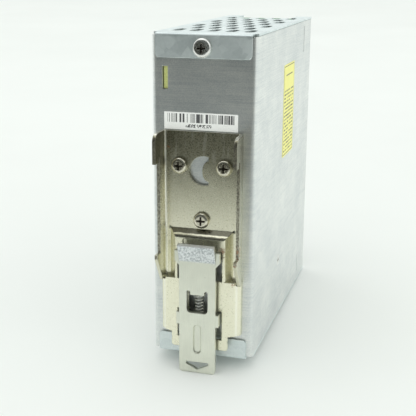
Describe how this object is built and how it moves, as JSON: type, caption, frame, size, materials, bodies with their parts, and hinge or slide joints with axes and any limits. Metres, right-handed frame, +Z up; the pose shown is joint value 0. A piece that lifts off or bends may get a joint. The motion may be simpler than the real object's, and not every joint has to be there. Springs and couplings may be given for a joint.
{
  "type": "din rail power supply",
  "caption": "Slim metal-cased switched power supply that hooks on a 35 mm rail by a rear bracket with a sprung sliding latch, with screw clamp terminals at the front.",
  "frame": {"origin": "middle of the seat for a 35 mm top hat rail, on the plane of the rail face, midway across the width", "axes": "+X to the left of a viewer behind the unit, +Y from the case towards the rail, +Z up along the case"},
  "size_m": [0.0401, 0.1255, 0.1298],
  "materials": {
    "label_white": "printed paper",
    "zinc_screw": "zinc plated",
    "zinc": "hot-dip zinc coat with a faint blue passivation",
    "screw_steel": "bright nickel plated",
    "device_epoxy": "moulded epoxy with plated tab",
    "capacitor_sleeve": "shrunk sleeve over aluminium can",
    "aluminium": "satin, rolled sheet",
    "fr4": "solder mask on glass laminate",
    "panel_plastic": "fine eroded mould texture",
    "fuse_body": "unglazed ceramic with plated caps",
    "block_plastic": "satin moulded",
    "copper_alloy": "tin plated brass",
    "film": "thin insulating film",
    "spring_steel": "bright drawn wire",
    "light_pipe": "clear tinted moulding",
    "film_capacitor": "moulded case",
    "ferrite": "sintered ferrite",
    "copper_wire": "enamelled copper wire",
    "iron_powder": "epoxy coated core",
    "heatsink": "extruded",
    "nickel": "satin nickel plate over pressed steel",
    "latch_steel": "satin nickel plate over steel",
    "label_yellow": "printed film",
    "pad": "silicone pad",
    "disc": "dipped epoxy coat",
    "bobbin": "moulded phenolic",
    "tape": "polyester winding tape",
    "trimmer_plastic": "moulded",
    "trimmer_rotor": "moulded"
  },
  "bodies": {
    "case": {"barcode_label": "label_white", "board_screws": "zinc_screw", "board_spacers": "zinc_screw", "bottom_cover": "zinc", "bracket_screws": "screw_steel", "bridge_rectifier": "device_epoxy", "bulk_capacitor": "capacitor_sleeve", "chassis_shell": "aluminium", "cover_screw": "screw_steel", "device_screws": "zinc_screw", "front_board": "fr4", "front_panel": "panel_plastic", "fuse": "fuse_body", "input_block": "block_plastic", "input_contacts": "copper_alloy", "insulating_sheet": "film", "latch_spring": "spring_steel", "light_pipe": "light_pipe", "line_capacitor": "film_capacitor", "line_choke_core": "ferrite", "line_choke_winding": "copper_wire", "main_board": "fr4", "output_block": "block_plastic", "output_capacitors": "capacitor_sleeve", "output_choke_core": "iron_powder", "output_choke_winding": "copper_wire", "output_contacts": "copper_alloy", "output_heatsink": "heatsink", "output_rectifiers": "device_epoxy", "primary_heatsink": "heatsink", "rail_bracket": "nickel", "side_label": "label_yellow", "side_screw": "screw_steel", "switching_transistor": "device_epoxy", "thermal_pads": "pad", "thermistor": "disc", "top_cover": "zinc", "transformer_bobbin": "bobbin", "transformer_core": "ferrite", "transformer_winding": "tape", "trimmer_body": "trimmer_plastic"},
    "latch": {"rail_latch": "latch_steel"},
    "trimmer": {"trimmer_shaft": "trimmer_rotor"},
    "output_screw_1_body": {"output_screw_1": "zinc_screw"},
    "output_screw_2_body": {"output_screw_2": "zinc_screw"},
    "output_screw_3_body": {"output_screw_3": "zinc_screw"},
    "output_screw_4_body": {"output_screw_4": "zinc_screw"},
    "output_clamp_1_body": {"output_clamp_1": "zinc_screw"},
    "output_clamp_2_body": {"output_clamp_2": "zinc_screw"},
    "output_clamp_3_body": {"output_clamp_3": "zinc_screw"},
    "output_clamp_4_body": {"output_clamp_4": "zinc_screw"},
    "input_screw_1_body": {"input_screw_1": "zinc_screw"},
    "input_screw_2_body": {"input_screw_2": "zinc_screw"},
    "input_screw_3_body": {"input_screw_3": "zinc_screw"},
    "input_clamp_1_body": {"input_clamp_1": "zinc_screw"},
    "input_clamp_2_body": {"input_clamp_2": "zinc_screw"},
    "input_clamp_3_body": {"input_clamp_3": "zinc_screw"}
  },
  "joints": [
    {"name": "latch_slide", "type": "slide", "parent": "case", "child": "latch", "axis": [0, 0, -1], "range_m": [0, 0.005], "stiffness_N_per_m": 1200, "springref_m": -0.004, "deforming": ["latch_spring"]},
    {"name": "trimmer_turn", "type": "hinge", "parent": "case", "child": "trimmer", "pos_m": [-0.006, -0.11, 0.02], "axis": [0, 1, 0], "range_deg": [-135, 135]},
    {"name": "output_screw_1_turn", "type": "hinge", "parent": "case", "child": "output_screw_1_body", "pos_m": [-0.00953, -0.1146, 0.0554], "axis": [0, 1, 0], "range_deg": [0, 2017]},
    {"name": "output_clamp_1_draw", "type": "slide", "parent": "case", "child": "output_clamp_1_body", "axis": [0, -1, 0], "range_m": [0, 0.0028]},
    {"name": "output_screw_2_turn", "type": "hinge", "parent": "case", "child": "output_screw_2_body", "pos_m": [-0.00317, -0.1146, 0.0554], "axis": [0, 1, 0], "range_deg": [0, 2017]},
    {"name": "output_clamp_2_draw", "type": "slide", "parent": "case", "child": "output_clamp_2_body", "axis": [0, -1, 0], "range_m": [0, 0.0028]},
    {"name": "output_screw_3_turn", "type": "hinge", "parent": "case", "child": "output_screw_3_body", "pos_m": [0.00317, -0.1146, 0.0554], "axis": [0, 1, 0], "range_deg": [0, 2017]},
    {"name": "output_clamp_3_draw", "type": "slide", "parent": "case", "child": "output_clamp_3_body", "axis": [0, -1, 0], "range_m": [0, 0.0028]},
    {"name": "output_screw_4_turn", "type": "hinge", "parent": "case", "child": "output_screw_4_body", "pos_m": [0.00953, -0.1146, 0.0554], "axis": [0, 1, 0], "range_deg": [0, 2017]},
    {"name": "output_clamp_4_draw", "type": "slide", "parent": "case", "child": "output_clamp_4_body", "axis": [0, -1, 0], "range_m": [0, 0.0028]},
    {"name": "input_screw_1_turn", "type": "hinge", "parent": "case", "child": "input_screw_1_body", "pos_m": [-0.00847, -0.1146, -0.0554], "axis": [0, 1, 0], "range_deg": [0, 2017]},
    {"name": "input_clamp_1_draw", "type": "slide", "parent": "case", "child": "input_clamp_1_body", "axis": [0, -1, 0], "range_m": [0, 0.0028]},
    {"name": "input_screw_2_turn", "type": "hinge", "parent": "case", "child": "input_screw_2_body", "pos_m": [0, -0.1146, -0.0554], "axis": [0, 1, 0], "range_deg": [0, 2017]},
    {"name": "input_clamp_2_draw", "type": "slide", "parent": "case", "child": "input_clamp_2_body", "axis": [0, -1, 0], "range_m": [0, 0.0028]},
    {"name": "input_screw_3_turn", "type": "hinge", "parent": "case", "child": "input_screw_3_body", "pos_m": [0.00847, -0.1146, -0.0554], "axis": [0, 1, 0], "range_deg": [0, 2017]},
    {"name": "input_clamp_3_draw", "type": "slide", "parent": "case", "child": "input_clamp_3_body", "axis": [0, -1, 0], "range_m": [0, 0.0028]}
  ],
  "couplings": [
    {"joint": "output_screw_1_turn", "follows": "output_clamp_1_draw", "rad_per_m": 12566},
    {"joint": "output_screw_2_turn", "follows": "output_clamp_2_draw", "rad_per_m": 12566},
    {"joint": "output_screw_3_turn", "follows": "output_clamp_3_draw", "rad_per_m": 12566},
    {"joint": "output_screw_4_turn", "follows": "output_clamp_4_draw", "rad_per_m": 12566},
    {"joint": "input_screw_1_turn", "follows": "input_clamp_1_draw", "rad_per_m": 12566},
    {"joint": "input_screw_2_turn", "follows": "input_clamp_2_draw", "rad_per_m": 12566},
    {"joint": "input_screw_3_turn", "follows": "input_clamp_3_draw", "rad_per_m": 12566}
  ]
}
